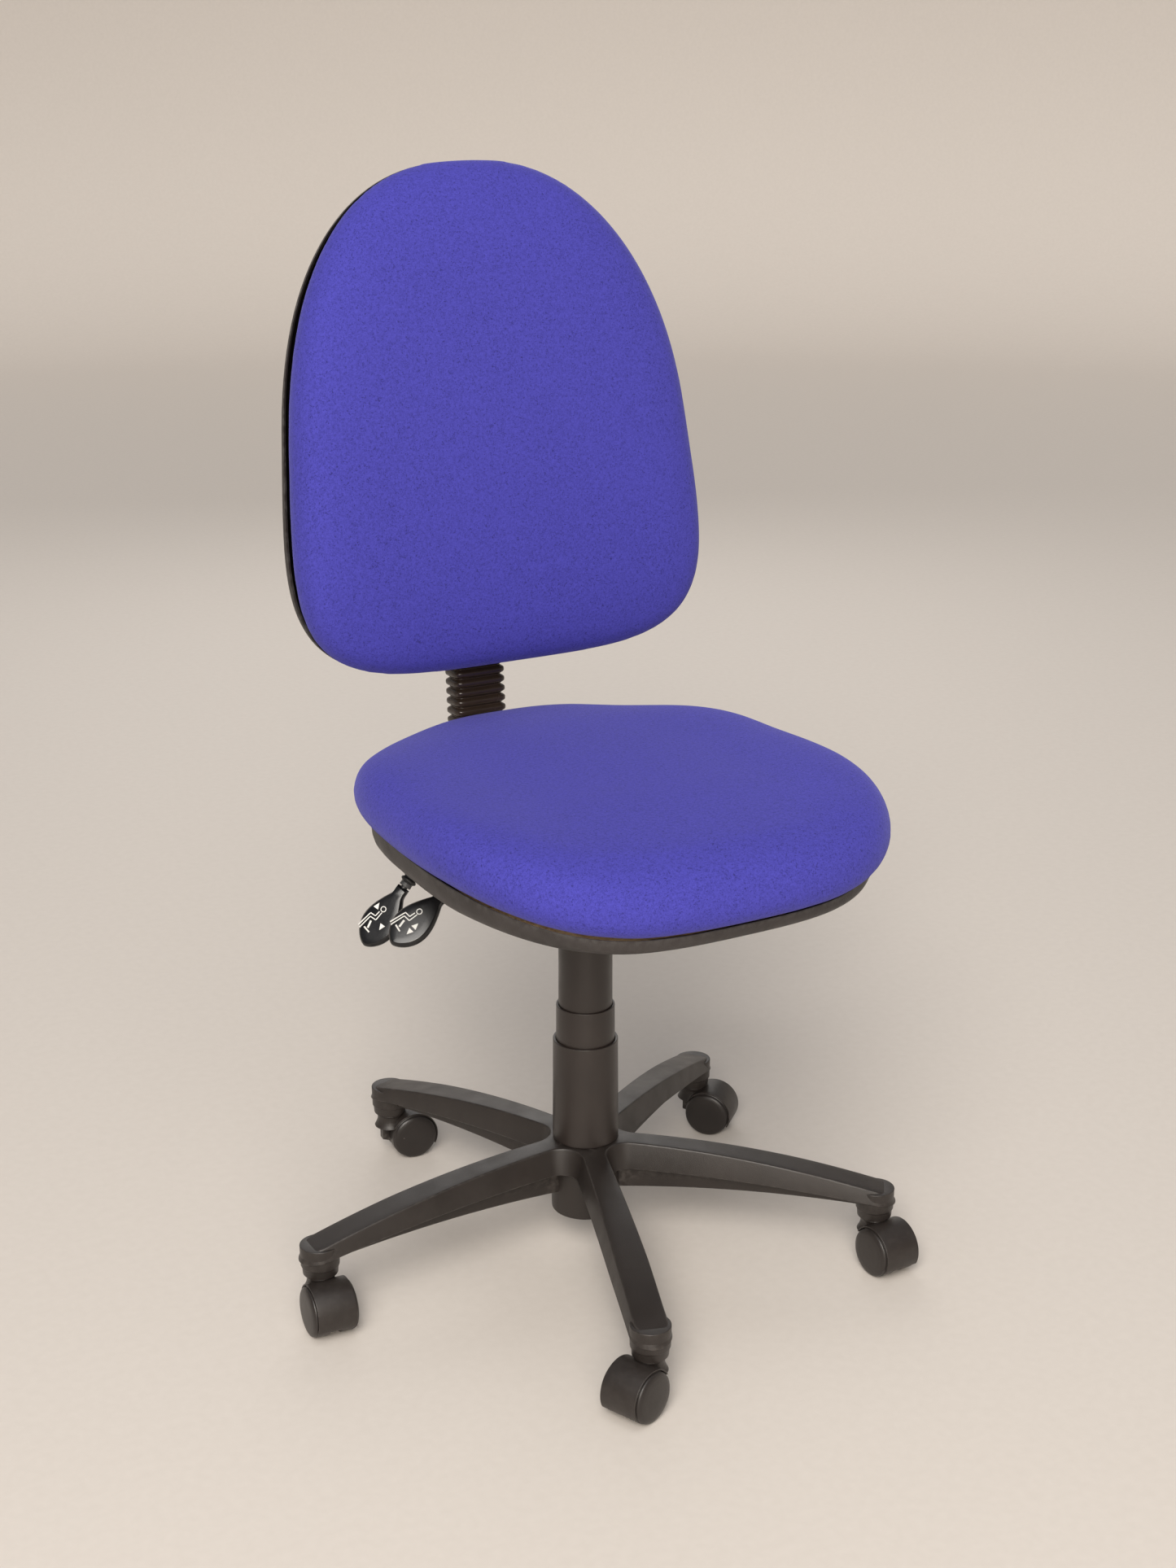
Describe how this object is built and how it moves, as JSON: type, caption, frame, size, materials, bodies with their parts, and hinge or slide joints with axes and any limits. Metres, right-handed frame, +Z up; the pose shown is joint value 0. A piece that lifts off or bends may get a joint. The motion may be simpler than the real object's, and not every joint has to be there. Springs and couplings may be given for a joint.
{
  "type": "swivel office chair",
  "caption": "Armless swivel office chair: upholstered seat and high back, gas lift with telescopic cover, tilting back on a bar, star base on twin-wheel casters.",
  "frame": {"origin": "centre of the chair's bounding box in plan, on the floor under the casters", "axes": "+Z up from the floor, -Y the way the sitter faces, +X towards the sitter's left, so the two levers are on the -X side"},
  "size_m": [0.6167, 0.6318, 1.0925],
  "materials": {
    "nylon": "black glass-filled nylon, satin moulded grain",
    "wheel_nylon": "black nylon, satin",
    "cover_plastic": "black polypropylene, fine satin grain",
    "shell_plastic": "black polypropylene, grained",
    "lever_plastic": "gloss black with printed white pictograms",
    "boot_rubber": "matt black",
    "bellows_plastic": "soft gloss black",
    "wool_fabric": "felted royal blue cloth over foam",
    "bright_steel": "zinc plated",
    "black_steel": "black powder coat",
    "plywood": "moulded plywood, unfinished",
    "bush_plastic": "natural acetal"
  },
  "bodies": {
    "base": {"star_base": "nylon", "column_tube": "bright_steel", "guide_bush": "bush_plastic", "thrust_bearing": "bright_steel", "lower_column_cover": "cover_plastic"},
    "middle_cover": {"middle_column_cover": "cover_plastic"},
    "swivel_rod": {"piston_rod": "bright_steel", "retaining_clip": "bright_steel"},
    "lift": {"gas_cylinder": "black_steel", "upper_column_cover": "cover_plastic", "mechanism_housing": "black_steel", "taper_socket": "bright_steel", "seat_bolt_front_right": "bright_steel", "seat_bolt_front_left": "bright_steel", "seat_bolt_rear_right": "bright_steel", "seat_bolt_rear_left": "bright_steel", "tilt_pivot_pin": "bright_steel", "tilt_spring": "bright_steel", "seat_pan": "plywood", "seat_shell": "shell_plastic", "seat_cushion": "wool_fabric"},
    "release_button": {"release_button": "bright_steel"},
    "height_lever": {"height_lever_rod": "black_steel", "height_lever_paddle": "lever_plastic", "height_lever_boot": "boot_rubber"},
    "tilt_lever": {"tilt_lever_rod": "black_steel", "tilt_lever_paddle": "lever_plastic"},
    "back_carrier": {"back_bar": "black_steel", "bellows": "bellows_plastic"},
    "backrest": {"back_slider": "nylon", "back_panel": "shell_plastic", "back_shell": "shell_plastic", "back_cushion": "wool_fabric"},
    "caster_right": {"caster_hood_right": "nylon", "caster_stem_right": "bright_steel", "wheel_axle_right": "bright_steel"},
    "wheel_left_right": {"wheel_left_right": "wheel_nylon"},
    "wheel_right_right": {"wheel_right_right": "wheel_nylon"},
    "caster_front": {"caster_hood_front": "nylon", "caster_stem_front": "bright_steel", "wheel_axle_front": "bright_steel"},
    "wheel_left_front": {"wheel_left_front": "wheel_nylon"},
    "wheel_right_front": {"wheel_right_front": "wheel_nylon"},
    "caster_front_left": {"caster_hood_front_left": "nylon", "caster_stem_front_left": "bright_steel", "wheel_axle_front_left": "bright_steel"},
    "wheel_left_front_left": {"wheel_left_front_left": "wheel_nylon"},
    "wheel_right_front_left": {"wheel_right_front_left": "wheel_nylon"},
    "caster_rear_left": {"caster_hood_rear_left": "nylon", "caster_stem_rear_left": "bright_steel", "wheel_axle_rear_left": "bright_steel"},
    "wheel_left_rear_left": {"wheel_left_rear_left": "wheel_nylon"},
    "wheel_right_rear_left": {"wheel_right_rear_left": "wheel_nylon"},
    "caster_rear_right": {"caster_hood_rear_right": "nylon", "caster_stem_rear_right": "bright_steel", "wheel_axle_rear_right": "bright_steel"},
    "wheel_left_rear_right": {"wheel_left_rear_right": "wheel_nylon"},
    "wheel_right_rear_right": {"wheel_right_rear_right": "wheel_nylon"}
  },
  "joints": [
    {"name": "seat_swivel", "type": "hinge", "parent": "base", "child": "swivel_rod", "pos_m": [0.018, 0.0076, 0.25], "axis": [0, 0, 1], "continuous": true},
    {"name": "gas_lift", "type": "slide", "parent": "swivel_rod", "child": "lift", "axis": [0, 0, 1], "range_m": [-0.095, 0.025]},
    {"name": "middle_cover_slide", "type": "slide", "parent": "base", "child": "middle_cover", "axis": [0, 0, 1], "range_m": [-0.0475, 0.0125]},
    {"name": "height_lever_lift", "type": "hinge", "parent": "lift", "child": "height_lever", "pos_m": [-0.0355, 0.0946, 0.4273], "axis": [0, 1, 0], "range_deg": [0, 4.5], "stiffness_Nm_per_rad": 2, "springref_deg": -8.59},
    {"name": "release_button_press", "type": "slide", "parent": "lift", "child": "release_button", "axis": [0, 0, 1], "range_m": [-0.0045, 0]},
    {"name": "tilt_lever_lift", "type": "hinge", "parent": "lift", "child": "tilt_lever", "pos_m": [-0.0355, 0.0106, 0.4273], "axis": [0, 1, 0], "range_deg": [0, 8], "stiffness_Nm_per_rad": 2, "springref_deg": -8.59},
    {"name": "back_tilt", "type": "hinge", "parent": "lift", "child": "back_carrier", "pos_m": [0.018, 0.1196, 0.425], "axis": [-1, 0, 0], "range_deg": [-4, 15]},
    {"name": "back_height", "type": "slide", "parent": "back_carrier", "child": "backrest", "axis": [0, 0.0698, 0.9976], "range_m": [0, 0.06], "deforming": ["bellows"]},
    {"name": "caster_swivel_right", "type": "hinge", "parent": "base", "child": "caster_right", "pos_m": [-0.282, 0.0076, 0.062], "axis": [0, 0, 1], "continuous": true},
    {"name": "wheel_spin_left_right", "type": "hinge", "parent": "caster_right", "child": "wheel_left_right", "pos_m": [-0.28357, -0.01485, 0.0255], "axis": [0.9976, -0.0698, 0], "continuous": true},
    {"name": "wheel_spin_right_right", "type": "hinge", "parent": "caster_right", "child": "wheel_right_right", "pos_m": [-0.28357, -0.01485, 0.0255], "axis": [0.9976, -0.0698, 0], "continuous": true},
    {"name": "caster_swivel_front", "type": "hinge", "parent": "base", "child": "caster_front", "pos_m": [-0.07471, -0.27772, 0.062], "axis": [0, 0, 1], "continuous": true},
    {"name": "wheel_spin_left_front", "type": "hinge", "parent": "caster_front", "child": "wheel_left_front", "pos_m": [-0.09557, -0.28615, 0.0255], "axis": [0.3746, -0.9272, 0], "continuous": true},
    {"name": "wheel_spin_right_front", "type": "hinge", "parent": "caster_front", "child": "wheel_right_front", "pos_m": [-0.09557, -0.28615, 0.0255], "axis": [0.3746, -0.9272, 0], "continuous": true},
    {"name": "caster_swivel_front_left", "type": "hinge", "parent": "base", "child": "caster_front_left", "pos_m": [0.26071, -0.16874, 0.062], "axis": [0, 0, 1], "continuous": true},
    {"name": "wheel_spin_left_front_left", "type": "hinge", "parent": "caster_front_left", "child": "wheel_left_front_left", "pos_m": [0.26149, -0.19122, 0.0255], "axis": [0.9994, 0.0349, 0], "continuous": true},
    {"name": "wheel_spin_right_front_left", "type": "hinge", "parent": "caster_front_left", "child": "wheel_right_front_left", "pos_m": [0.26149, -0.19122, 0.0255], "axis": [0.9994, 0.0349, 0], "continuous": true},
    {"name": "caster_swivel_rear_left", "type": "hinge", "parent": "base", "child": "caster_rear_left", "pos_m": [0.26071, 0.18394, 0.062], "axis": [0, 0, 1], "continuous": true},
    {"name": "wheel_spin_left_rear_left", "type": "hinge", "parent": "caster_rear_left", "child": "wheel_left_rear_left", "pos_m": [0.27576, 0.16721, 0.0255], "axis": [0.7431, 0.6691, 0], "continuous": true},
    {"name": "wheel_spin_right_rear_left", "type": "hinge", "parent": "caster_rear_left", "child": "wheel_right_rear_left", "pos_m": [0.27576, 0.16721, 0.0255], "axis": [0.7431, 0.6691, 0], "continuous": true},
    {"name": "caster_swivel_rear_right", "type": "hinge", "parent": "base", "child": "caster_rear_right", "pos_m": [-0.07471, 0.29292, 0.062], "axis": [0, 0, 1], "continuous": true},
    {"name": "wheel_spin_left_rear_right", "type": "hinge", "parent": "caster_rear_right", "child": "wheel_left_rear_right", "pos_m": [-0.05233, 0.29057, 0.0255], "axis": [0.1045, 0.9945, 0], "continuous": true},
    {"name": "wheel_spin_right_rear_right", "type": "hinge", "parent": "caster_rear_right", "child": "wheel_right_rear_right", "pos_m": [-0.05233, 0.29057, 0.0255], "axis": [0.1045, 0.9945, 0], "continuous": true}
  ],
  "couplings": [
    {"joint": "middle_cover_slide", "follows": "gas_lift", "ratio": 0.5},
    {"joint": "release_button_press", "follows": "height_lever_lift", "m_per_rad": -0.0535}
  ]
}
